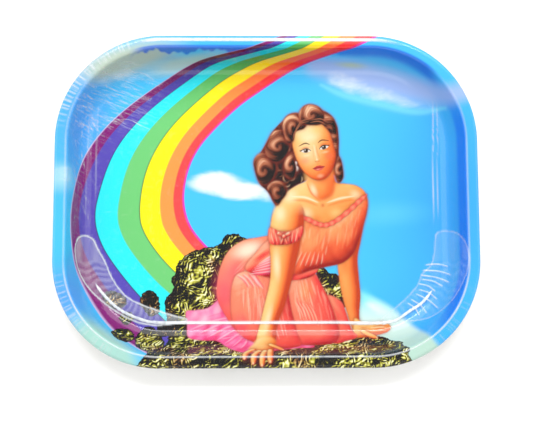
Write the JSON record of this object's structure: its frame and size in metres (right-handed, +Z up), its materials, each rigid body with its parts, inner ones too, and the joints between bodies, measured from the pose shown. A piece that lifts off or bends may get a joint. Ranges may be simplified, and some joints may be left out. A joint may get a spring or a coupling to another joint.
{
  "type": "printed tinplate serving tray",
  "caption": "Small rectangular pressed-tinplate tray with round corners, a coved wall, a narrow flat rim, a rolled edge, a printed picture face and a clear clinging film.",
  "frame": {"origin": "centre of the underside of the floor, on the surface that the tray rests on", "axes": "+X along the length, +Y towards the edge at the top of the printed picture, +Z up, out of the open face"},
  "size_m": [0.178, 0.14, 0.015],
  "materials": {
    "tinplate": "bright tinplate with fine rolling lines, clear lacquered",
    "base_coat": "white stoved enamel, semi-gloss",
    "printed_varnish": "four-colour print under gloss varnish: blue sky, clouds, rainbow, rocks and a seated figure",
    "clear_film": "clear clinging plastic film, glossy, puckered at the corners"
  },
  "bodies": {
    "root": {"tray_pan": "tinplate", "base_coat": "base_coat", "printed_face": "printed_varnish", "protective_film": "clear_film"}
  },
  "joints": []
}
